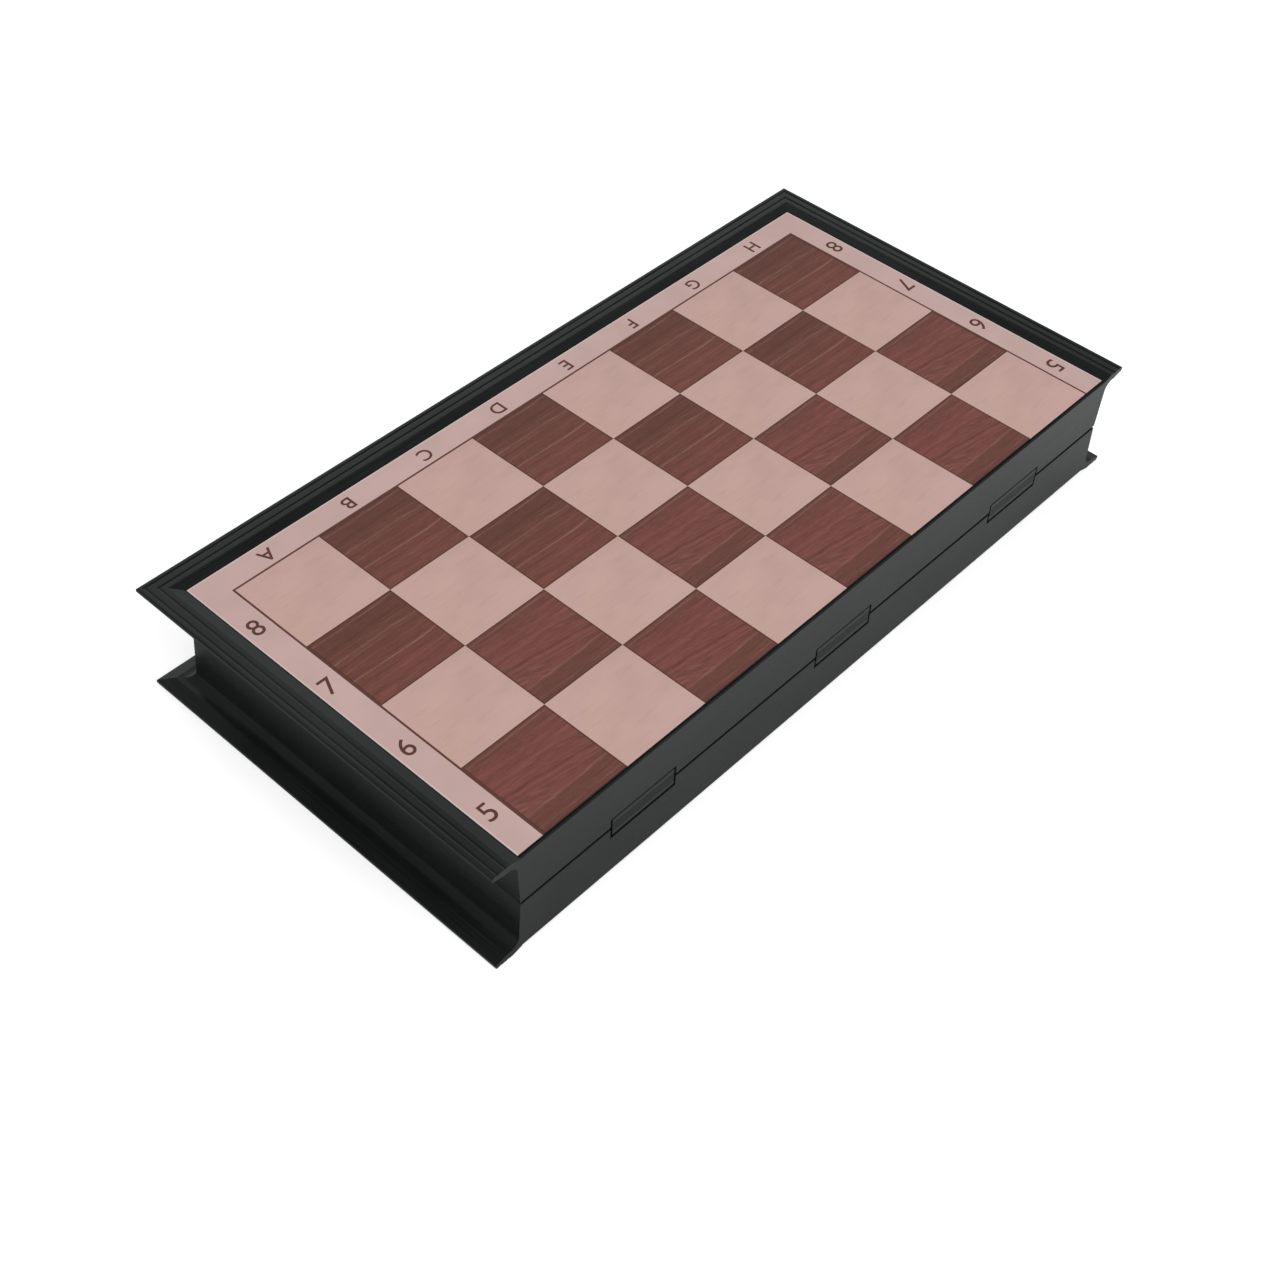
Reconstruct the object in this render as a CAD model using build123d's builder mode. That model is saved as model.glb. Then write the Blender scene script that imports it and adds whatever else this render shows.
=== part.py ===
from build123d import *

import os
from math import asin, degrees, sqrt

# A folding chess board that lies closed as a flat box, with half of the playing surface above
# and half below. X runs along the files from A to H, the hinges are on the -Y side and +Z is
# up. The origin is at the middle of the footprint, on the surface that the box lies on.
# Both trays are the same moulding: the upper one is the lower one turned half a turn over.

# Printed playing surface, millimetres
square = 34.5
files = 8
ranks_per_tray = 4
border = 11.0

# Rim round three sides of each tray
rim_width = 11.0
rim_rise = 1.1
bevel_width = 3.8
crest_round = 2.0
rim_groove_pitch = 3.05
rim_groove_width = 1.2
rim_groove_depth = 0.25
lip_edge = 1.7
lip_root = 2.75
lip_flat = 4.9
lip_round = 0.7
lip_lower_round = 0.3
lip_fillet = 3.6

# Tray walls and floor
tray_height = 22.5
wall_reveal = 0.4
wall_foot_reveal = 1.5
wall_thickness = 2.0
floor_thickness = 2.0
foot_fillet = 1.6
hinge_strip = 1.3
hinge_land = 0.6
hinge_wall_thickness = 2.4
edge_round = 0.3

# Sheets let into each tray
print_thickness = 0.25
steel_thickness = 0.4
sheet_gap = 0.2

# Link hinges
hinge_count = 3
hinge_spacing = 97.0
link_width = 27.5
link_side_gap = 0.6
pin_offset = 2.55
pin_depth = 1.5
pin_radius = 0.6
pin_running_clearance = 0.04
pin_push_clearance = 0.01
pin_end_recess = 0.4
pin_chamfer = 0.15
link_end_radius = 1.25
link_outer_round = 0.35
groove_count = 3
groove_pitch = 1.3
groove_radius = 0.22
swing_clearance = 0.33
rolling_clearance = 0.32
lug_length = 5.0
lug_wall = 1.2
lug_relief = 0.5

# Ribs on the inside of the floor
rib_height = 1.4
rib_thickness = 1.2
cross_ribs = 7
long_ribs = 1

# Closing magnets and their posts, in the two front corners
magnet_radius = 4.0
magnet_thickness = 2.0
magnet_chamfer = 0.25
magnet_side_gap = 0.1
magnet_recess = 0.1
post_wall = 1.7
post_recess = 0.15
post_inset = 9.0
web_thickness = 1.4
web_drop = 1.5

# Locating tongue behind the front wall
tongue_offset = 60.0
tongue_width = 16.0
tongue_thickness = 1.5
tongue_reach = 4.0
tongue_root = 9.0
tongue_clearance = 0.3
tongue_lead = 0.7

# Sizes and places that follow
sheet_length = files * square + 2 * border
sheet_depth = ranks_per_tray * square + border
board_length = sheet_length + 2 * rim_width
board_depth = hinge_strip + sheet_depth + rim_width
box_height = 2 * tray_height
parting = tray_height

hinge_face = -board_depth / 2
sheet_back = hinge_face + hinge_strip
sheet_front = sheet_back + sheet_depth
sheet_middle = (sheet_back + sheet_front) / 2
sheet_side = sheet_length / 2
pocket_floor = rim_rise + print_thickness + steel_thickness
floor_top = pocket_floor + floor_thickness

rim_middle = (bevel_width + rim_width) / 2
inner_groove = rim_middle - rim_groove_pitch / 2
outer_groove = rim_middle + rim_groove_pitch / 2

wall_inside = wall_reveal - wall_thickness
inner_side = sheet_side + wall_inside
inner_front = sheet_front + wall_inside
inner_back = hinge_face + hinge_wall_thickness
inner_depth = inner_front - inner_back

pin_y = hinge_face + pin_depth
pin_z = parting - pin_offset
pin_hole_radius = pin_radius + pin_push_clearance
link_half_height = pin_offset + link_end_radius
link_swing = sqrt(pin_depth**2 + link_end_radius**2)
seat_radius = link_swing + swing_clearance
seat_drop = pin_depth + swing_clearance
seat_width = link_width + 2 * link_side_gap
rolling_radius = pin_offset - rolling_clearance / 2
rolling_angle = degrees(asin(pin_depth / rolling_radius))
rolling_low = pin_z + sqrt(rolling_radius**2 - pin_depth**2)
lug_top = parting - lug_relief
lug_back = pin_y + seat_radius + lug_wall
lug_low = pin_z - (sqrt(2) - 1) * (seat_radius + lug_wall)
lug_span = seat_width + 2 * lug_length
pin_length = lug_span - 2 * pin_end_recess
hinge_places = [(i - (hinge_count - 1) / 2) * hinge_spacing for i in range(hinge_count)]

post_x = inner_side - post_inset
post_y = inner_front - post_inset
post_radius = magnet_radius + magnet_side_gap + post_wall
post_top = parting - post_recess
magnet_low = post_top - magnet_recess - magnet_thickness

# Turns a lower piece over, into its twin's place in the upper tray
turned_over = Location((0, 0, box_height), (0, 180, 0))

parts = {}


def rounded_outline(corners):
    """Draw a closed outline through corners that are given with their radii."""
    points = [point for point, radius in corners]
    radii = [radius for point, radius in corners]
    FilletPolyline(*points, radius=radii, close=True)


def finish(name, builder):
    """Label a finished piece and keep it for writing out."""
    builder.part.label = name
    parts[name] = builder.part


def finish_turned(name, lower):
    """Finish an upper piece, which is its lower twin turned over."""
    with BuildPart() as upper:
        add(lower.part.moved(turned_over))
    finish(name, upper)


with BuildPart() as lower_shell:
    # Rim, thin overhanging lip and flared outer wall: one profile, mitred at the two front corners
    with BuildLine() as rim_path:
        Polyline(
            (-sheet_side, hinge_face),
            (-sheet_side, sheet_front),
            (sheet_side, sheet_front),
            (sheet_side, hinge_face),
        )
    rim_start = Plane(origin=(-sheet_side, hinge_face, 0), x_dir=(-1, 0, 0), z_dir=(0, 1, 0))
    with BuildSketch(rim_start):
        with BuildLine():
            rounded_outline([
                ((0, rim_rise), 0),
                ((bevel_width, 0), crest_round),
                ((inner_groove - rim_groove_width / 2, 0), 0),
                ((inner_groove, rim_groove_depth), 0),
                ((inner_groove + rim_groove_width / 2, 0), 0),
                ((outer_groove - rim_groove_width / 2, 0), 0),
                ((outer_groove, rim_groove_depth), 0),
                ((outer_groove + rim_groove_width / 2, 0), 0),
                ((rim_width, 0), lip_round),
                ((rim_width, lip_edge), lip_lower_round),
                ((wall_foot_reveal + lip_flat, lip_root), 0),
                ((wall_foot_reveal, lip_root), lip_fillet),
                ((wall_reveal, parting), 0),
                ((wall_inside, parting), 0),
                ((wall_inside, floor_top), foot_fillet),
                ((wall_inside - 2 * foot_fillet, floor_top), 0),
                ((wall_inside - 2 * foot_fillet, pocket_floor), 0),
                ((0, pocket_floor), 0),
            ])
        make_face()
    sweep(path=rim_path.wire(), transition=Transition.RIGHT)

    # Floor
    with BuildSketch(Plane.XY.offset(pocket_floor)):
        with Locations((0, (inner_back + inner_front) / 2)):
            Rectangle(2 * inner_side, inner_depth)
    extrude(amount=floor_thickness)

    # Hinge wall, whose narrow land stops short of the sheets
    with BuildSketch(Plane.YZ.offset(-sheet_side)):
        with BuildLine():
            rounded_outline([
                ((hinge_face, rim_rise), edge_round),
                ((hinge_face + hinge_land, rim_rise), 0),
                ((hinge_face + hinge_land, pocket_floor), 0),
                ((inner_back + 2 * foot_fillet, pocket_floor), 0),
                ((inner_back + 2 * foot_fillet, floor_top), 0),
                ((inner_back, floor_top), foot_fillet),
                ((inner_back, parting), 0),
                ((hinge_face, parting), 0),
            ])
        make_face()
    extrude(amount=sheet_length)

    # Low ribs, which also mark out places for the men
    with BuildSketch(Plane.XY.offset(floor_top)):
        with Locations((0, (inner_back + inner_front) / 2)):
            with GridLocations(2 * inner_side / (cross_ribs + 1), 0, cross_ribs, 1):
                Rectangle(rib_thickness, inner_depth)
            with GridLocations(0, inner_depth / (long_ribs + 1), 1, long_ribs):
                Rectangle(2 * inner_side, rib_thickness)
    extrude(amount=rib_height)

    # Magnet posts, webbed to both walls, with a pocket in the top of each
    for side in (-1, 1):
        with BuildSketch(Plane.XY.offset(floor_top)):
            with Locations((side * post_x, post_y)):
                Circle(post_radius)
        extrude(amount=post_top - floor_top)
        with BuildSketch(Plane.XY.offset(floor_top)):
            with Locations((side * (post_x + post_inset / 2), post_y)):
                Rectangle(post_inset, web_thickness)
            with Locations((side * post_x, post_y + post_inset / 2)):
                Rectangle(web_thickness, post_inset)
        extrude(amount=post_top - web_drop - floor_top)
        with BuildSketch(Plane.XY.offset(magnet_low)):
            with Locations((side * post_x, post_y)):
                Circle(magnet_radius + magnet_side_gap)
        extrude(amount=post_top - magnet_low, mode=Mode.SUBTRACT)

    # Locating tongue, which enters behind the other tray's front wall
    tongue_face = inner_front - tongue_clearance
    tongue_back = tongue_face - tongue_thickness
    tongue_tip = parting + tongue_reach
    tongue_foot = parting - tongue_root
    with BuildSketch(Plane.YZ.offset(tongue_offset - tongue_width / 2)):
        with BuildLine():
            Polyline(
                (inner_front, tongue_foot - tongue_clearance - tongue_thickness),
                (tongue_back, tongue_foot),
                (tongue_back, tongue_tip),
                (tongue_face - tongue_lead, tongue_tip),
                (tongue_face, tongue_tip - 2 * tongue_lead),
                (tongue_face, parting - tongue_lead),
                (inner_front, parting - tongue_lead),
                close=True,
            )
        make_face()
    extrude(amount=tongue_width)

    # Lugs that thicken the hinge wall behind each hinge
    for x in hinge_places:
        with BuildSketch(Plane.YZ.offset(x - lug_span / 2)):
            with BuildLine():
                Polyline(
                    (inner_back, lug_top),
                    (lug_back, lug_top),
                    (lug_back, lug_low),
                    (inner_back, lug_low - (lug_back - inner_back)),
                    close=True,
                )
            make_face()
        extrude(amount=lug_span)

    # The parting edge of the hinge side, rounded about the pins so that the two trays roll past
    # each other: it keeps within the circle that meets the other tray's only at half the gap
    with BuildSketch(Plane.YZ.offset(-board_length / 2)):
        with BuildLine():
            CenterArc((pin_y, pin_z), rolling_radius, 90, rolling_angle)
            Polyline(
                (pin_y, pin_z + rolling_radius),
                (pin_y, parting),
                (hinge_face - pin_depth, parting),
                (hinge_face - pin_depth, rolling_low),
                (hinge_face, rolling_low),
            )
        make_face()
    extrude(amount=board_length, mode=Mode.SUBTRACT)

    # Seats that the links swing in, and the holes that hold the pins
    for x in hinge_places:
        with BuildSketch(Plane.YZ.offset(x - seat_width / 2)):
            with Locations((pin_y, pin_z)):
                Circle(seat_radius)
                Rectangle(seat_radius, pin_offset, align=(Align.MIN, Align.MIN))
            with Locations((pin_y, parting)):
                Rectangle(2 * pin_depth, pin_offset + seat_drop, align=(Align.MAX, Align.MAX))
        extrude(amount=seat_width, mode=Mode.SUBTRACT)
        with BuildSketch(Plane.YZ.offset(x - lug_span / 2)):
            with Locations((pin_y, pin_z)):
                Circle(pin_hole_radius)
        extrude(amount=lug_span, mode=Mode.SUBTRACT)
finish("lower_shell", lower_shell)
finish_turned("upper_shell", lower_shell)

# Steel sheets, which the magnetic men cling to, and the printed sheets over them
with BuildPart() as lower_steel:
    with BuildSketch(Plane.XY.offset(pocket_floor - steel_thickness)):
        with Locations((0, sheet_middle)):
            Rectangle(sheet_length - 2 * sheet_gap, sheet_depth - 2 * sheet_gap)
    extrude(amount=steel_thickness)
finish("lower_steel_sheet", lower_steel)
finish_turned("upper_steel_sheet", lower_steel)

with BuildPart() as lower_print:
    with BuildSketch(Plane.XY.offset(rim_rise)):
        with Locations((0, sheet_middle)):
            Rectangle(sheet_length - 2 * sheet_gap, sheet_depth - 2 * sheet_gap)
    extrude(amount=print_thickness)
finish("lower_printed_sheet", lower_print)
finish_turned("upper_printed_sheet", lower_print)

# Closing magnets
for side, name, turned_name in ((-1, "left", "right"), (1, "right", "left")):
    with BuildPart() as magnet:
        with BuildSketch(Plane.XY.offset(magnet_low)):
            with Locations((side * post_x, post_y)):
                Circle(magnet_radius)
        extrude(amount=magnet_thickness)
        chamfer(magnet.edges().filter_by(GeomType.CIRCLE), magnet_chamfer)
    finish(f"lower_magnet_{name}", magnet)
    finish_turned(f"upper_magnet_{turned_name}", magnet)

# Hinge links, flush with the hinge walls, and a pin at each end of every link
for i, x in enumerate(hinge_places):
    with BuildPart() as link:
        with BuildSketch(Plane.YZ.offset(x - link_width / 2)):
            with BuildLine():
                rounded_outline([
                    ((hinge_face, parting - link_half_height), link_outer_round),
                    ((pin_y + link_end_radius, parting - link_half_height), link_end_radius),
                    ((pin_y + link_end_radius, parting + link_half_height), link_end_radius),
                    ((hinge_face, parting + link_half_height), link_outer_round),
                ])
            make_face()
            with Locations((pin_y, parting)):
                with GridLocations(0, 2 * pin_offset, 1, 2):
                    Circle(pin_radius + pin_running_clearance, mode=Mode.SUBTRACT)
            with Locations((hinge_face, parting)):
                with GridLocations(0, groove_pitch, 1, groove_count):
                    Circle(groove_radius, mode=Mode.SUBTRACT)
        extrude(amount=link_width)
    finish(f"hinge_link_{i + 1}", link)

    with BuildPart() as pin:
        with BuildSketch(Plane.YZ.offset(x - pin_length / 2)):
            with Locations((pin_y, pin_z)):
                Circle(pin_radius)
        extrude(amount=pin_length)
        chamfer(pin.edges().filter_by(GeomType.CIRCLE), pin_chamfer)
    finish(f"lower_hinge_pin_{i + 1}", pin)
    finish_turned(f"upper_hinge_pin_{hinge_count - i}", pin)

os.makedirs("parts", exist_ok=True)
for name, part in parts.items():
    export_step(part, f"parts/{name}.step")
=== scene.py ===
"""Finishes for the folding chess board: printed wood squares, black moulded plastic, steel,
the printed files and ranks, and a plain white stage seen from the photograph's place."""

from math import radians

import bmesh
import bpy
from mathutils import Matrix, Vector


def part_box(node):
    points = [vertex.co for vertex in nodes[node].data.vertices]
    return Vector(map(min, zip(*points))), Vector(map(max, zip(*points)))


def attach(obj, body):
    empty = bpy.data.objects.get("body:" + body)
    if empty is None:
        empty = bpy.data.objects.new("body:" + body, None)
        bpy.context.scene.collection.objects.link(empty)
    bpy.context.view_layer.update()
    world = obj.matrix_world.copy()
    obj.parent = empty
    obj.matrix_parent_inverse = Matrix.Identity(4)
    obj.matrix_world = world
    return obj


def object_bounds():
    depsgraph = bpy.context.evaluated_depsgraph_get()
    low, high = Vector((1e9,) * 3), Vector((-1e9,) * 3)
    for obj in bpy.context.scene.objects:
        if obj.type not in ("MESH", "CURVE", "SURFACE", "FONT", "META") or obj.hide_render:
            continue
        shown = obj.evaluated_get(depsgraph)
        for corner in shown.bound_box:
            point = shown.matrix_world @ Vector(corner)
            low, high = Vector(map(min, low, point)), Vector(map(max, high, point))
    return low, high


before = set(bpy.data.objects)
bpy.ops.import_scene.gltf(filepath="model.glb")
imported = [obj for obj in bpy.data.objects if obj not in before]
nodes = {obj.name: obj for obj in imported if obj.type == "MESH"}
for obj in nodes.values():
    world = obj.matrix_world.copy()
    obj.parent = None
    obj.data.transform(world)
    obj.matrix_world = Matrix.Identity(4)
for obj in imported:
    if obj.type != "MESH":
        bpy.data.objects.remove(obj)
cad_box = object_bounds()

MM = 0.001
WHITE = (1.0, 1.0, 1.0, 1.0)
FLOAT, VECTOR, COLOR = "NodeSocketFloat", "NodeSocketVector", "NodeSocketColor"

# Printed playing surface. The frame line and the outlines' fade are shares of a square
square = 34.5 * MM
rows = 4
file_letters = "ABCDEFGH"
sheet_gap = 0.2 * MM
sheet_low, sheet_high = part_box("upper_printed_sheet")
field_front = sheet_low.y - sheet_gap + rows * square
rim_side = sheet_high.x + sheet_gap
rim_front = sheet_high.y + sheet_gap
frame_line = 0.022
outline_fade = (0.012, 0.02)
outline_strength = 0.7
cut_edge_fade = (0.2 * MM, 0.7 * MM)
cut_edge_strength = 0.6

# Moulded grain
grain_lines_per_metre = 1400.0
grain_lengths_per_metre = 22.0
wall_reach = 2.5 * MM

# Hinge wall
hinge_face = cad_box[0][1]
seam_height = (cad_box[0][2] + cad_box[1][2]) / 2
sheet_depth = sheet_high.z - seam_height
link_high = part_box("hinge_link_2")[1]
link_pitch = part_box("hinge_link_3")[1].x - link_high.x

# Painted shade in the hinge wall's slots and seam, and painted shade lines round them on the tray's face.
# Each pair is the start and the end of a fade
skin_depth = (0.05 * MM, 0.2 * MM)
wall_depth = (3.0 * MM, 3.5 * MM)
slot_reach = (5.0 * MM, 5.2 * MM)
seam_line_fade = (0.5 * MM, 0.65 * MM)
link_line_fade = (0.32 * MM, 0.42 * MM)
link_line_spread = 0.5 * MM
link_line_drop = 0.35 * MM
recess_shade = 0.12

# Painted shadow line beside the print
print_shadow_fade = (0.45 * MM, 0.6 * MM)
print_shadow_depth = (1.2 * MM, 1.5 * MM)
print_shadow_strength = 0.6
strip_skin_depth = (0.7 * MM, 0.85 * MM)

# Printed letters and digits
digit_height = 7.1 * MM
letter_height = 5.5 * MM
digit_margin = 5.9 * MM
letter_margin = 5.3 * MM
ink_thickness = 0.02 * MM
digit_growth = 0.003
letter_growth = 0.010

# Lines of the dark print: height across the square, half width and strength, all as shares
straight_dark_lines = (
    (0.20, 0.05, 0.35), (0.43, 0.03, 0.35), (0.585, 0.022, 0.5), (0.71, 0.028, 0.5), (0.86, 0.03, 0.35),
)
straight_pale_lines = (
    (0.05, 0.022, 0.4), (0.27, 0.014, 0.2), (0.355, 0.03, 0.5), (0.395, 0.014, 0.25), (0.50, 0.02, 0.2),
    (0.628, 0.02, 0.75), (0.77, 0.02, 0.3), (0.92, 0.02, 0.18),
)
flowing_dark_lines = (
    (0.13, 0.03, 0.35), (0.29, 0.016, 0.25), (0.385, 0.014, 0.2), (0.50, 0.03, 0.6), (0.565, 0.016, 0.4),
    (0.62, 0.014, 0.3), (0.67, 0.012, 0.25),
)
flowing_pale_lines = ((0.34, 0.014, 0.15), (0.44, 0.014, 0.2), (0.535, 0.012, 0.25), (0.595, 0.012, 0.2))
border_pale_lines = ((0.05, 0.022, 0.6), (0.77, 0.022, 0.6), (0.935, 0.02, 0.25))

# Bends of the dark print's grain. Depths and heights are shares of a square
sway_depth = 0.055
bend_depth = 0.13
bend_power = 1.4
figure_height = 0.6
foot_height = 0.665

# Floor. In the plastic's reflection it is painted dimmer towards the left, with a painted shadow left of the
# box and next to the hinge wall
floor_size = 12.0
floor_drop = 0.05 * MM
floor_paint = 0.8
floor_glow = 0.5
mirrored_glow = 0.1
floor_reach = 200.0 * MM
floor_left, floor_right = 0.52, 0.82
left_shade = 0.5
left_shade_edge = (-162.0 * MM, -158.0 * MM)
hinge_shade = 0.66
hinge_shade_reach = (45.0 * MM, 5.0 * MM)

# Room. The plastic mirrors it bright up to a height and dim above
room_light = 0.75
mirrored_height = (0.75, 0.81)
mirrored_light = (0.75, 0.04)

# Lamp
lamp_place = (-0.2, -1.15, 1.35)
lamp_size = 1.0
lamp_power = 9.0

# Camera of the photograph
camera_place = Vector((-0.36724, -0.30881, 0.47164))
camera_aim = Vector((-0.06370, -0.04734, 0.04390))
camera_roll = radians(2.82)
lens_mm = 52.82


def srgb(red, green, blue):
    """A colour given in 0 to 255 screen values, as a linear colour."""
    linear = []
    for value in (red / 255, green / 255, blue / 255):
        linear.append(value / 12.92 if value <= 0.04045 else ((value + 0.055) / 1.055) ** 2.4)
    return (*linear, 1.0)


# Dark print with straight grain
straight_brown = srgb(102, 61, 51)
straight_light = srgb(115, 67, 57)
straight_red = srgb(125, 70, 65)
straight_dark_vein = srgb(76, 46, 39)
straight_pale_vein = srgb(150, 112, 100)

# Dark print with the flowing figure
flowing_brown = srgb(108, 65, 56)
flowing_red = srgb(119, 69, 62)
flowing_cloud = srgb(129, 72, 67)
flowing_dark_vein = srgb(72, 42, 37)
flowing_pale_vein = srgb(144, 101, 91)

# Pale print, margin, printed lines and ink
maple_pink = srgb(194, 160, 152)
maple_light = srgb(200, 165, 158)
maple_warm = srgb(202, 168, 150)
maple_dash = srgb(180, 146, 134)
margin_pink = srgb(195, 165, 159)
margin_light = srgb(202, 170, 165)
outline_brown = srgb(78, 45, 38)
frame_brown = srgb(96, 58, 50)
cut_edge_white = srgb(214, 208, 206)
ink_dark = srgb(88, 50, 42)
ink_light = srgb(98, 58, 50)

# Plastic and metal
plastic_black = srgb(28, 31, 31)
plastic_gloss = (0.95, 1.0, 0.98, 1.0)
tin_grey = srgb(190, 190, 192)
wire_grey = srgb(195, 195, 196)
nickel_grey = srgb(205, 200, 192)

# Roughness and sheen
print_roughness = 0.5
print_sheen = 0.25
plastic_roughness = (0.26, 0.36)
plastic_sheen = 0.35


class Graph:
    """Short calls that add nodes to a node tree and wire them."""

    def __init__(self, tree):
        self.tree = tree

    def feed(self, socket, value):
        if isinstance(value, bpy.types.NodeSocket):
            self.tree.links.new(value, socket)
        else:
            socket.default_value = value

    def add(self, kind, inputs=(), **settings):
        new = self.tree.nodes.new(kind)
        for name, value in settings.items():
            setattr(new, name, value)
        for key, value in dict(inputs).items():
            self.feed(new.inputs[key], value)
        return new

    def math(self, operation, *values):
        return self.add("ShaderNodeMath", dict(enumerate(values)), operation=operation).outputs[0]

    def axes(self, vector):
        return self.add("ShaderNodeSeparateXYZ", {0: vector}).outputs

    def vector(self, x, y, z):
        return self.add("ShaderNodeCombineXYZ", {0: x, 1: y, 2: z}).outputs[0]

    def noise(self, vector, scale, detail, roughness=0.5):
        inputs = {"Vector": vector, "Scale": scale, "Detail": detail, "Roughness": roughness}
        return self.add("ShaderNodeTexNoise", inputs).outputs[0]

    def ramp(self, value, low, high, to_low=0.0, to_high=1.0):
        inputs = {0: value, 1: low, 2: high, 3: to_low, 4: to_high}
        return self.add("ShaderNodeMapRange", inputs).outputs[0]

    def until(self, value, start, end):
        """1 up to the start, fading to 0 at the end."""
        return self.ramp(value, start, end, 1.0, 0.0)

    def mix(self, share, first, second, blend="MIX"):
        new = self.add("ShaderNodeMix", data_type="RGBA", blend_type=blend)
        self.feed(new.inputs[0], share)
        self.feed(new.inputs[6], first)
        self.feed(new.inputs[7], second)
        return new.outputs[2]

    def tinted(self, color, shade):
        """A colour made lighter or darker by a factor."""
        grey = self.add("ShaderNodeCombineColor", {0: shade, 1: shade, 2: shade}).outputs[0]
        return self.mix(1.0, color, grey, "MULTIPLY")

    def group(self, tree, **values):
        """A placed group: its inputs are set by name and its outputs are returned by name."""
        new = self.add("ShaderNodeGroup", node_tree=tree)
        for name, value in values.items():
            self.feed(new.inputs[name.replace("_", " ")], value)
        return {socket.name: socket for socket in new.outputs}


def new_group(name, inputs, outputs):
    """An empty shader node group, with its graph and its two ends."""
    tree = bpy.data.node_groups.new(name, "ShaderNodeTree")
    for socket, kind in inputs:
        tree.interface.new_socket(socket, in_out="INPUT", socket_type=kind)
    for socket, kind in outputs:
        tree.interface.new_socket(socket, in_out="OUTPUT", socket_type=kind)
    graph = Graph(tree)
    return graph, graph.add("NodeGroupInput").outputs, graph.add("NodeGroupOutput").inputs


def new_material(name):
    """A material with one Principled shader, and its graph."""
    material = bpy.data.materials.new(name)
    material.use_nodes = True
    graph = Graph(material.node_tree)
    graph.tree.nodes.clear()
    shader = graph.add("ShaderNodeBsdfPrincipled")
    output = graph.add("ShaderNodeOutputMaterial")
    graph.feed(output.inputs[0], shader.outputs[0])
    return material, graph, shader


def squares_group():
    """Where a point of the print lies: its file and row, dark or light, and the lines and edges near it."""
    results = ("File", "Row", "Inside", "Dark", "Frame", "Outline", "Cut edge")
    graph, given, made = new_group("printed squares", [("Place", VECTOR), ("First square", FLOAT)],
                                   [(result, FLOAT) for result in results])
    x, y = graph.axes(given["Place"])[:2]
    half_files = len(file_letters) / 2
    file = graph.math("ADD", graph.math("DIVIDE", x, square), half_files)
    row = graph.math("DIVIDE", graph.math("SUBTRACT", field_front, y), square)

    off_middle = graph.math("ABSOLUTE", graph.math("SUBTRACT", file, half_files))
    past_side = graph.math("SUBTRACT", off_middle, half_files)
    outside = graph.math("MAXIMUM", past_side, graph.math("MULTIPLY", row, -1.0))
    inside = graph.math("LESS_THAN", outside, 0.0)
    near_frame = graph.math("LESS_THAN", outside, frame_line)
    frame_mask = graph.math("SUBTRACT", near_frame, inside)

    count = graph.math("ADD", graph.math("FLOOR", file), graph.math("FLOOR", row))
    odd = graph.math("FLOORED_MODULO", graph.math("ADD", count, given["First square"]), 2.0)
    dark = graph.math("MULTIPLY", graph.math("GREATER_THAN", odd, 0.5), inside)

    off_centre = [graph.math("ABSOLUTE", graph.math("SUBTRACT", graph.math("FRACT", part), 0.5))
                  for part in (file, row)]
    inset = graph.math("SUBTRACT", 0.5, graph.math("MAXIMUM", *off_centre))
    outline = graph.math("MULTIPLY", graph.until(inset, *outline_fade), dark)

    to_side = graph.math("SUBTRACT", sheet_high.x, graph.math("ABSOLUTE", x))
    to_front = graph.math("SUBTRACT", sheet_high.y, y)
    cut_edge = graph.until(graph.math("MINIMUM", to_side, to_front), *cut_edge_fade)
    for result, value in zip(results, (file, row, inside, dark, frame_mask, outline, cut_edge)):
        graph.feed(made[result], value)
    return graph.tree


def streak_group():
    """A soft line at one height across the grain, strongest in the middle of its width."""
    graph, given, made = new_group(
        "grain streak",
        [("Across", FLOAT), ("Height", FLOAT), ("Half width", FLOAT), ("Strength", FLOAT)],
        [("Mask", FLOAT)],
    )
    away = graph.math("ABSOLUTE", graph.math("SUBTRACT", given["Across"], given["Height"]))
    share = graph.math("DIVIDE", away, given["Half width"])
    near = graph.math("MAXIMUM", graph.math("SUBTRACT", 1.0, share), 0.0)
    soft = graph.math("MULTIPLY", graph.math("MULTIPLY", near, near), given["Strength"])
    graph.feed(made["Mask"], soft)
    return graph.tree


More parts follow.
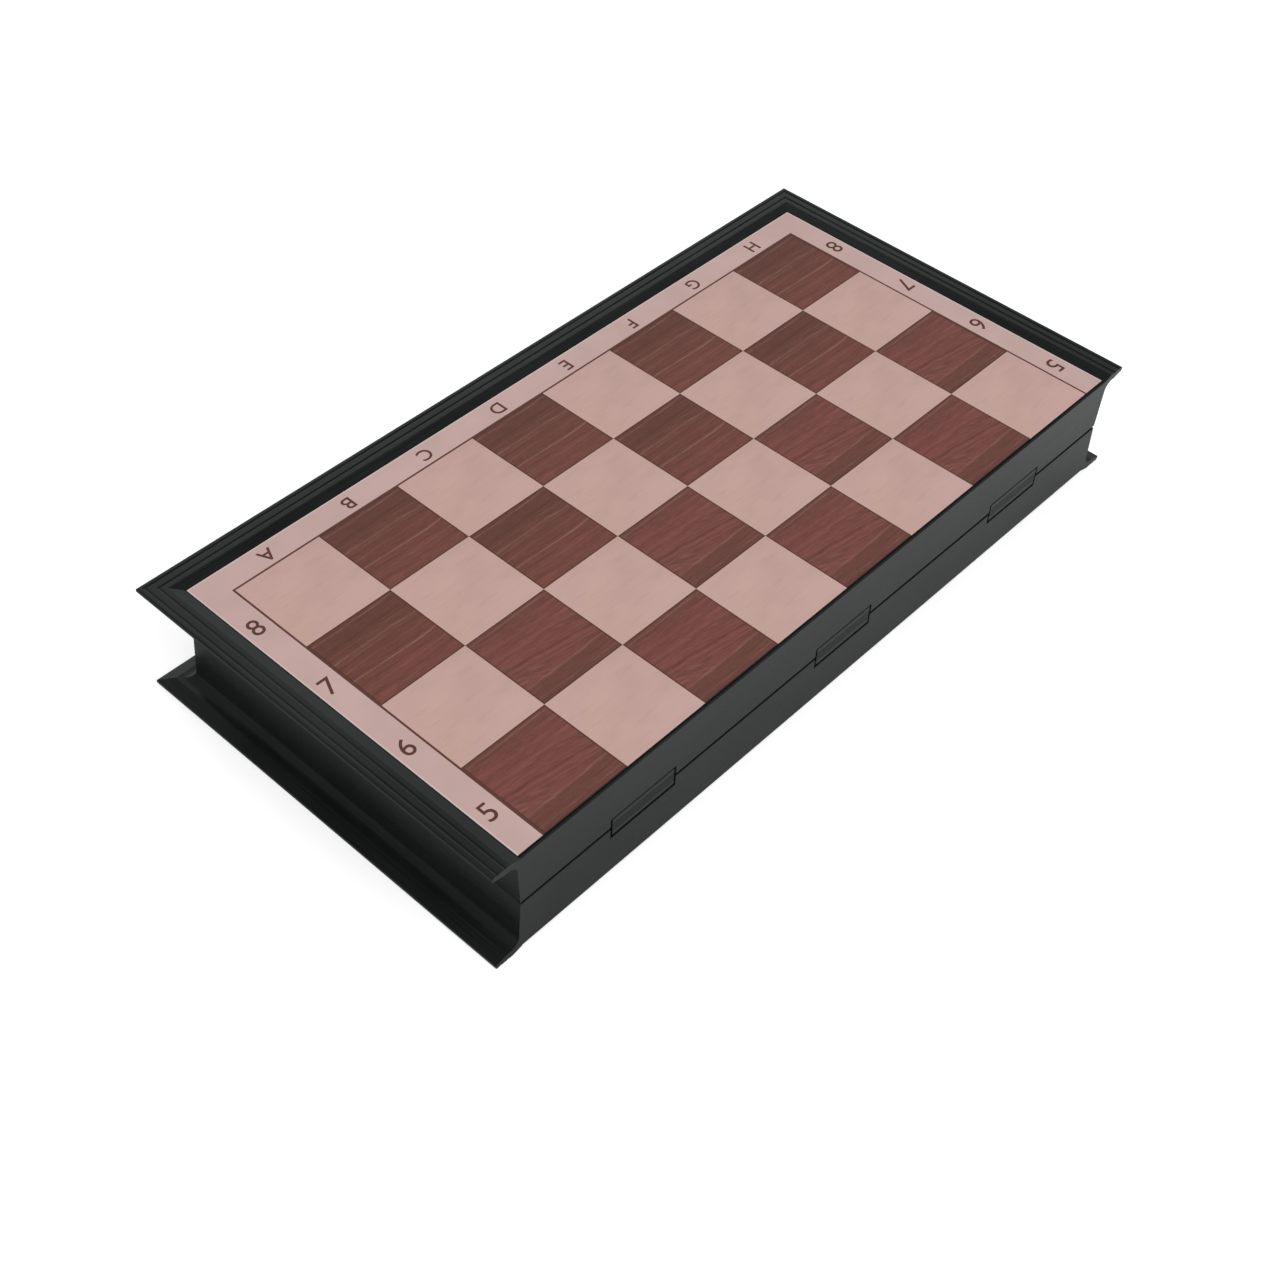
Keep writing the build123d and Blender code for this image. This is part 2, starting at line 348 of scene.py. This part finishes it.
def rosewood_group():
    """The dark print, with a flowing figure in the two rows by the hinge and straight grain in the others."""
    graph, given, made = new_group("rosewood print", [("File", FLOAT), ("Row", FLOAT)], [("Color", COLOR)])
    along, across = graph.math("FRACT", given["File"]), graph.math("FRACT", given["Row"])
    flowing = graph.math("GREATER_THAN", given["Row"], rows / 2)
    plank = graph.math("MULTIPLY", flowing, 5.7)

    def figured(height, lengths, lines, detail=2.0):
        """Noise drawn out along the grain, with this many lengths and lines in a square."""
        place = graph.vector(graph.math("MULTIPLY", along, lengths), graph.math("MULTIPLY", height, lines),
                             plank)
        return graph.noise(place, 1.0, detail)

    def streaks(place, lines):
        total = 0.0
        for height, half_width, strength in lines:
            mask = graph.group(streak, Across=place, Height=height, Half_width=half_width,
                               Strength=strength)
            total = graph.math("ADD", mask["Mask"], total)
        return total

    def painted(color, share, other):
        return graph.mix(graph.math("MINIMUM", graph.math("MAXIMUM", share, 0.0), 1.0), color, other)

    sway = graph.math("MULTIPLY", graph.math("SUBTRACT", figured(across, 1.6, 2.2, 1.0), 0.5), sway_depth)
    line = graph.math("ADD", across, sway)
    patchy = graph.ramp(figured(across, 3.0, 30.0), 0.35, 0.6, 0.35, 1.0)

    straight = painted(straight_brown, graph.ramp(line, 0.2, 0.75), straight_light)
    red_spot = graph.math("MULTIPLY", graph.ramp(figured(across, 2.1, 3.1, 1.0), 0.5, 0.68),
                          graph.ramp(line, 0.5, 0.9, 0.0, 0.4))
    straight = painted(straight, red_spot, straight_red)
    dark_lines = streaks(line, straight_dark_lines)
    straight = painted(straight, graph.math("MULTIPLY", dark_lines, patchy), straight_dark_vein)
    pale_lines = streaks(line, straight_pale_lines)
    straight = painted(straight, graph.math("MULTIPLY", pale_lines, patchy), straight_pale_vein)

    drop = graph.math("MULTIPLY", graph.math("POWER", along, bend_power), bend_depth)
    off_figure = graph.math("ABSOLUTE", graph.math("SUBTRACT", across, figure_height))
    in_figure = graph.until(off_figure, 0.08, 0.3)
    bent = graph.math("SUBTRACT", line, graph.math("MULTIPLY", drop, in_figure))
    red = graph.math("MULTIPLY", graph.ramp(line, 0.06, 0.14), graph.until(line, 0.72, 0.8))
    flow = painted(flowing_brown, red, flowing_red)
    cloud = graph.ramp(figured(bent, 1.7, 9.0), 0.4, 0.65)
    flow = painted(flow, graph.math("MULTIPLY", cloud, graph.math("MULTIPLY", red, 0.5)), flowing_cloud)
    dark_lines = streaks(bent, flowing_dark_lines)
    flow = painted(flow, graph.math("MULTIPLY", dark_lines, patchy), flowing_dark_vein)

    slant = graph.math("SUBTRACT", graph.math("MULTIPLY", across, 26.0), graph.math("MULTIPLY", along, 12.0))
    feathers = graph.noise(graph.vector(graph.math("MULTIPLY", along, 3.0), slant, plank), 1.0, 1.0)
    in_foot = graph.until(graph.math("ABSOLUTE", graph.math("SUBTRACT", bent, foot_height)), 0.05, 0.11)
    feathers = graph.math("MULTIPLY", graph.ramp(feathers, 0.48, 0.62), in_foot)
    feathers = graph.math("MULTIPLY", feathers, graph.ramp(along, 0.35, 0.65, 0.4, 0.0))
    pale_lines = graph.math("ADD", streaks(line, border_pale_lines), streaks(bent, flowing_pale_lines))
    pale_marks = graph.math("MULTIPLY", graph.math("ADD", pale_lines, feathers), patchy)
    flow = painted(flow, pale_marks, flowing_pale_vein)

    color = graph.mix(flowing, straight, flow)
    curving = graph.math("ADD", graph.math("MULTIPLY", graph.math("SUBTRACT", bent, line), flowing), line)
    shade = graph.ramp(figured(curving, 1.3, 19.0), 0.3, 0.7, 0.91, 1.09)
    shade = graph.math("MULTIPLY", shade, graph.ramp(figured(curving, 4.5, 48.0, 3.0), 0.3, 0.7, 0.87, 1.13))
    shade = graph.math("MULTIPLY", shade, graph.ramp(figured(curving, 16.0, 120.0), 0.3, 0.7, 0.88, 1.12))
    graph.feed(made["Color"], graph.tinted(color, shade))
    return graph.tree


def maple_group():
    """The pale print, with a warm patch at the left of each square and a few faint dashes."""
    graph, given, made = new_group("maple print", [("File", FLOAT), ("Row", FLOAT)], [("Color", COLOR)])
    along, across = graph.math("FRACT", given["File"]), graph.math("FRACT", given["Row"])

    def figured(plank, lengths, lines, detail=2.0):
        """Noise drawn out along the grain, with this many lengths and lines in a square."""
        place = graph.vector(graph.math("MULTIPLY", along, lengths), graph.math("MULTIPLY", across, lines),
                             plank)
        return graph.noise(place, 1.0, detail)

    cloud = graph.ramp(figured(3.3, 2.0, 3.0), 0.35, 0.65)
    color = graph.mix(cloud, maple_pink, maple_light)
    warmth = graph.math("MULTIPLY", graph.ramp(along, 0.05, 0.6, 0.4, 0.0),
                        graph.ramp(figured(1.7, 2.3, 3.0, 1.0), 0.4, 0.6))
    color = graph.mix(warmth, color, maple_warm)
    dashes = graph.ramp(figured(8.1, 3.2, 20.0), 0.54, 0.74, 0.0, 0.25)
    color = graph.mix(dashes, color, maple_dash)
    fibres = graph.ramp(figured(5.5, 5.0, 50.0, 3.0), 0.3, 0.7, 0.983, 1.017)
    graph.feed(made["Color"], graph.tinted(color, fibres))
    return graph.tree


def grain_group():
    """Moulded wood grain that runs along each side of the box, turning at the mitres."""
    graph, given, made = new_group(
        "moulded grain",
        [("Place", VECTOR), ("Lines per metre", FLOAT), ("Lengths per metre", FLOAT)],
        [("Grain", FLOAT), ("Clouds", FLOAT)],
    )
    x, y, z = graph.axes(given["Place"])
    past_side = graph.math("SUBTRACT", graph.math("ABSOLUTE", x), rim_side)
    past_front = graph.math("SUBTRACT", y, rim_front)
    on_short_side = graph.math("GREATER_THAN", past_side, graph.math("MAXIMUM", past_front, -wall_reach))
    fine, long = given["Lines per metre"], given["Lengths per metre"]
    finer = graph.math("SUBTRACT", fine, long)
    x_scale = graph.math("ADD", long, graph.math("MULTIPLY", on_short_side, finer))
    y_scale = graph.math("SUBTRACT", fine, graph.math("MULTIPLY", on_short_side, finer))
    place = graph.vector(graph.math("MULTIPLY", x, x_scale), graph.math("MULTIPLY", y, y_scale),
                         graph.math("MULTIPLY", z, fine))
    graph.feed(made["Grain"], graph.noise(place, 1.0, 3.0, 0.6))
    graph.feed(made["Clouds"], graph.noise(given["Place"], 35.0, 2.0))
    return graph.tree


def painted_shade_group():
    """Painted shade on the plastic: inside the hinge wall, in its seam, round its links, and a painted shadow
    line beside the print.
    The painted shade lines carry the seam and the links' slots a little way onto the tray's face, past the
    openings."""
    graph, given, made = new_group("painted recess shade", [("Place", VECTOR), ("Edge lines", FLOAT)], [("Mask", FLOAT)])
    x, y, z = graph.axes(given["Place"])
    off_centre = graph.math("ABSOLUTE", x)
    from_seam = graph.math("ABSOLUTE", graph.math("SUBTRACT", z, seam_height))
    past_face = graph.math("SUBTRACT", y, hinge_face)
    # Painted shade inside the hinge wall's seam and slots, behind its face
    behind = graph.math("MULTIPLY", graph.ramp(past_face, *skin_depth), graph.until(from_seam, *slot_reach))

    # Painted shade lines on the tray's face, round each link's slot and along the seam
    half_pitch = link_pitch / 2
    in_pitch = graph.math("FLOORED_MODULO", graph.math("ADD", x, half_pitch), link_pitch)
    off_link = graph.math("ABSOLUTE", graph.math("SUBTRACT", in_pitch, half_pitch))
    past_end = graph.math("SUBTRACT", off_link, link_high.x + link_line_spread)
    off_line = graph.math("ABSOLUTE", graph.math("SUBTRACT", z, seam_height - link_line_drop))
    past_edge = graph.math("SUBTRACT", off_line, link_high.z - seam_height + link_line_drop)
    link_line = graph.until(graph.math("MAXIMUM", past_end, past_edge), *link_line_fade)
    seam_line = graph.until(from_seam, *seam_line_fade)
    lines = graph.math("MULTIPLY", graph.math("MAXIMUM", link_line, seam_line), given["Edge lines"])

    in_wall = graph.until(past_face, *wall_depth)
    between_walls = graph.until(off_centre, sheet_high.x, rim_side)
    at_hinge = graph.math("MULTIPLY", graph.math("MAXIMUM", behind, lines),
                          graph.math("MULTIPLY", in_wall, between_walls))

    # Painted shadow line on the plastic just outside the print's edge
    past_sheet = graph.math("MAXIMUM", graph.math("SUBTRACT", off_centre, sheet_high.x),
                            graph.math("SUBTRACT", y, sheet_high.y))
    shadow_beside_print = graph.math("MULTIPLY", graph.ramp(past_sheet, *print_shadow_fade, print_shadow_strength, 0.0),
                              graph.ramp(past_face, *strip_skin_depth))
    under_print = graph.math("SUBTRACT", sheet_depth, from_seam)
    print_shadow = graph.math("MULTIPLY", shadow_beside_print, graph.until(under_print, *print_shadow_depth))
    graph.feed(made["Mask"], graph.math("MAXIMUM", at_hinge, print_shadow))
    return graph.tree


streak = streak_group()
squares = squares_group()
rosewood = rosewood_group()
maple = maple_group()
grain = grain_group()
painted_shade_tree = painted_shade_group()


def print_material(name, first_square):
    """The printed sheet: pale maple and dark rosewood squares inside a thin brown line."""
    material, graph, shader = new_material(name)
    place = graph.add("ShaderNodeTexCoord").outputs["Object"]
    board = graph.group(squares, Place=place, First_square=first_square)
    dark_wood = graph.group(rosewood, File=board["File"], Row=board["Row"])["Color"]
    pale_wood = graph.group(maple, File=board["File"], Row=board["Row"])["Color"]
    cloud = graph.ramp(graph.noise(place, 60.0, 2.0), 0.35, 0.65)
    color = graph.mix(board["Inside"], graph.mix(cloud, margin_pink, margin_light), pale_wood)
    color = graph.mix(board["Dark"], color, dark_wood)
    color = graph.mix(graph.math("MULTIPLY", board["Outline"], outline_strength), color, outline_brown)
    color = graph.mix(board["Frame"], color, frame_brown)
    color = graph.mix(graph.math("MULTIPLY", board["Cut edge"], cut_edge_strength), color, cut_edge_white)
    graph.feed(shader.inputs["Base Color"], color)
    shader.inputs["Roughness"].default_value = print_roughness
    shader.inputs["Specular IOR Level"].default_value = print_sheen
    return material


def plastic_material(name, bump_height, painted_shade_lines):
    """Black moulded plastic with a satin skin and a faint wood grain, dull and with painted shade in its
    hollows and beside the print.
    """
    material, graph, shader = new_material(name)
    place = graph.add("ShaderNodeTexCoord").outputs["Object"]
    skin = graph.group(grain, Place=place, Lines_per_metre=grain_lines_per_metre,
                       Lengths_per_metre=grain_lengths_per_metre)
    painted_shade_mask = graph.group(painted_shade_tree, Place=place, Edge_lines=painted_shade_lines)["Mask"]
    shade = graph.ramp(graph.math("ADD", skin["Grain"], skin["Clouds"]), 0.7, 1.3, 0.75, 1.25)
    # Painted shade: the base colour darkens in the hinge wall's seam and slots, round its links and beside
    # the print
    shade = graph.math("MULTIPLY", shade, graph.ramp(painted_shade_mask, 0.0, 1.0, 1.0, recess_shade))
    roughness = graph.ramp(skin["Grain"], 0.3, 0.7, *plastic_roughness)
    graph.feed(shader.inputs["Base Color"], graph.tinted(plastic_black, shade))
    graph.feed(shader.inputs["Roughness"], graph.ramp(painted_shade_mask, 0.0, 1.0, roughness, 1.0))
    shader.inputs["Specular IOR Level"].default_value = plastic_sheen
    shader.inputs["Specular Tint"].default_value = plastic_gloss
    bump = graph.add("ShaderNodeBump", {"Height": skin["Grain"], "Strength": 1.0, "Distance": bump_height})
    graph.feed(shader.inputs["Normal"], bump.outputs[0])
    return material


def metal_material(name, color, roughness):
    """Drawn or plated metal with a fine cloudiness."""
    material, graph, shader = new_material(name)
    place = graph.add("ShaderNodeTexCoord").outputs["Object"]
    cloud = graph.noise(place, 900.0, 3.0)
    shader.inputs["Metallic"].default_value = 1.0
    graph.feed(shader.inputs["Base Color"], graph.tinted(color, graph.ramp(cloud, 0.3, 0.7, 0.85, 1.0)))
    graph.feed(shader.inputs["Roughness"], graph.ramp(cloud, 0.3, 0.7, roughness, roughness + 0.12))
    return material


def ink_material():
    """Brown printing ink, slightly uneven."""
    material, graph, shader = new_material("brown ink")
    place = graph.add("ShaderNodeTexCoord").outputs["Object"]
    cover = graph.ramp(graph.noise(place, 2500.0, 2.0), 0.35, 0.65)
    graph.feed(shader.inputs["Base Color"], graph.mix(cover, ink_dark, ink_light))
    shader.inputs["Roughness"].default_value = print_roughness
    shader.inputs["Specular IOR Level"].default_value = print_sheen
    return material


def dress(node_name, material):
    """Give a CAD node its finish."""
    mesh = nodes[node_name].data
    mesh.materials.clear()
    mesh.materials.append(material)


def glyph(character, height):
    """One printed character, lying in XY and centred on the origin, as a mesh of the ink's thickness."""
    curve = bpy.data.curves.new(character, "FONT")
    curve.body = character
    curve.offset = letter_growth if character in file_letters else digit_growth
    if character == "4":
        curve.offset = 0.0  # thickened, the 4 loses its counter
    curve.extrude = 0.5
    carrier = bpy.data.objects.new(character, curve)
    bpy.context.scene.collection.objects.link(carrier)
    bpy.context.view_layer.update()
    mesh = bpy.data.meshes.new_from_object(carrier.evaluated_get(bpy.context.evaluated_depsgraph_get()))
    bpy.data.objects.remove(carrier)
    corners = [Vector(map(pick, *(v.co for v in mesh.vertices))) for pick in (min, max)]
    size = height / (corners[1].y - corners[0].y)
    mesh.transform(Matrix.Diagonal((size, size, ink_thickness, 1.0))
                   @ Matrix.Translation(-(corners[0] + corners[1]) / 2))
    return mesh


def coordinates(name, body, sheet, ranks, outward, ink):
    """The letters and digits of one half. outward is 1 on the upper face and -1 on the lower."""
    low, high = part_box(sheet)
    face = (high if outward > 0 else low).z + outward * ink_thickness / 2
    left = -len(file_letters) / 2 * square
    marks = []
    for i, letter in enumerate(file_letters):
        place = (left + (i + 0.5) * square, field_front + letter_margin)
        marks.append((letter, letter_height, place, -outward))
    for i, digit in enumerate(ranks):
        y = field_front - (i + 0.5) * square
        marks.append((digit, digit_height, (left - digit_margin, y), 1))
        marks.append((digit, digit_height, (-left + digit_margin, y), -1))

    shape = bmesh.new()
    for character, height, (x, y), way in marks:
        mesh = glyph(character, height)
        turn = Matrix.Diagonal((way, way * outward, outward, 1.0))
        mesh.transform(Matrix.Translation((x, y, face)) @ turn)
        shape.from_mesh(mesh)
        bpy.data.meshes.remove(mesh)
    bmesh.ops.remove_doubles(shape, verts=shape.verts, dist=1e-7)
    bmesh.ops.recalc_face_normals(shape, faces=shape.faces)
    mesh = bpy.data.meshes.new(name)
    shape.to_mesh(mesh)
    shape.free()
    mesh.materials.append(ink)
    piece = bpy.data.objects.new(name, mesh)
    bpy.context.scene.collection.objects.link(piece)
    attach(piece, body)


def white_floor():
    """A pale floor that shows white and keeps the shadow. In the plastic's reflection it carries a painted
    shadow next to the hinge wall and left of the box.
    """
    bpy.ops.mesh.primitive_plane_add(size=floor_size, location=(0, 0, -floor_drop))
    floor = bpy.context.object
    floor.name = "floor"
    material, graph, shader = new_material("white table")
    shader.inputs["Roughness"].default_value = 0.9
    shader.inputs["Emission Color"].default_value = WHITE
    x, y = graph.axes(graph.add("ShaderNodeTexCoord").outputs["Object"])[:2]
    path = graph.add("ShaderNodeLightPath").outputs

    # Painted shadow in reflections only: the floor as the plastic mirrors it is darker next to the hinge wall
    # and left of the box, and dimmer towards the left
    shade_start, shade_end = (hinge_face - reach for reach in hinge_shade_reach)
    near_wall = graph.math("MULTIPLY", graph.ramp(y, shade_start, shade_end),
                           graph.math("LESS_THAN", y, hinge_face))
    soft = graph.math("MULTIPLY", graph.ramp(near_wall, 0.0, 1.0, 1.0, hinge_shade),
                      graph.ramp(x, *left_shade_edge, left_shade, 1.0))
    reflected = graph.ramp(x, -floor_reach, floor_reach, floor_left, floor_right)
    reflected = graph.math("MULTIPLY", reflected, soft)
    paint = graph.ramp(path["Is Glossy Ray"], 0.0, 1.0, floor_paint, reflected)
    graph.feed(shader.inputs["Base Color"], graph.tinted(WHITE, paint))

    mirrored = graph.math("MULTIPLY", graph.math("MULTIPLY", path["Is Glossy Ray"], mirrored_glow), soft)
    seen = graph.math("MAXIMUM", path["Is Camera Ray"], path["Is Transmission Ray"])
    glow = graph.math("MAXIMUM", graph.math("MULTIPLY", seen, floor_glow), mirrored)
    graph.feed(shader.inputs["Emission Strength"], glow)
    floor.data.materials.append(material)


def studio_world():
    """A white room. The plastic mirrors it brightest low down, on the right and behind the board."""
    world = bpy.data.worlds.new("studio")
    bpy.context.scene.world = world
    world.use_nodes = True
    graph = Graph(world.node_tree)
    graph.tree.nodes.clear()
    x, y, z = graph.axes(graph.add("ShaderNodeTexCoord").outputs["Generated"])
    path = graph.add("ShaderNodeLightPath").outputs
    mirrored = graph.ramp(z, *mirrored_height, *mirrored_light)
    mirrored = graph.math("MULTIPLY", mirrored, graph.ramp(x, -0.6, 0.3, 0.25, 1.0))
    mirrored = graph.math("MULTIPLY", mirrored, graph.ramp(x, 0.55, 0.75, 1.0, 0.78))
    mirrored = graph.math("MULTIPLY", mirrored, graph.ramp(y, 0.2, 0.4, 0.2, 1.0))
    room = graph.ramp(path["Is Glossy Ray"], 0.0, 1.0, room_light, mirrored)
    seen = graph.math("MAXIMUM", path["Is Camera Ray"], path["Is Transmission Ray"])
    sky = graph.add("ShaderNodeBackground", {0: WHITE, 1: graph.math("MAXIMUM", room, seen)})
    graph.feed(graph.add("ShaderNodeOutputWorld").inputs[0], sky.outputs[0])


def key_lamp():
    """A square lamp, aimed at the board."""
    light = bpy.data.lights.new("key", "AREA")
    light.size = lamp_size
    light.energy = lamp_power
    lamp = bpy.data.objects.new("key", light)
    lamp.location = lamp_place
    lamp.rotation_euler = (-Vector(lamp_place)).to_track_quat("-Z", "Y").to_euler()
    bpy.context.scene.collection.objects.link(lamp)


def photo_camera():
    """The photograph's camera without its lens distortion, for a square picture."""
    data = bpy.data.cameras.new("camera")
    data.lens = lens_mm
    data.clip_start = 0.01
    camera = bpy.data.objects.new("camera", data)
    turn = (camera_aim - camera_place).to_track_quat("-Z", "Y").to_matrix().to_4x4()
    camera.matrix_world = Matrix.Translation(camera_place) @ turn @ Matrix.Rotation(camera_roll, 4, "Z")
    bpy.context.scene.collection.objects.link(camera)
    bpy.context.scene.camera = camera


# The trays' plastic carries the painted shade lines on its face, the links' plastic does not
tray_plastic = plastic_material("black tray plastic", 0.02 * MM, 1.0)
link_plastic = plastic_material("black link plastic", 0.01 * MM, 0.0)
steel = metal_material("tin plate", tin_grey, 0.3)
wire = metal_material("drawn wire", wire_grey, 0.22)
nickel = metal_material("nickel plate", nickel_grey, 0.16)
brown_ink = ink_material()

for node in nodes:
    if node.endswith("shell"):
        dress(node, tray_plastic)
    elif node.startswith("hinge_link"):
        dress(node, link_plastic)
    elif "pin" in node:
        dress(node, wire)
    elif "magnet" in node:
        dress(node, nickel)
    elif "steel" in node:
        dress(node, steel)
dress("upper_printed_sheet", print_material("upper print", 0.0))
dress("lower_printed_sheet", print_material("lower print", 1.0))
coordinates("upper_coordinates", "upper_half", "upper_printed_sheet", "8765", 1, brown_ink)
coordinates("lower_coordinates", "lower_half", "lower_printed_sheet", "1234", -1, brown_ink)

white_floor()
studio_world()
key_lamp()
photo_camera()
bpy.context.scene.view_settings.view_transform = "Standard"
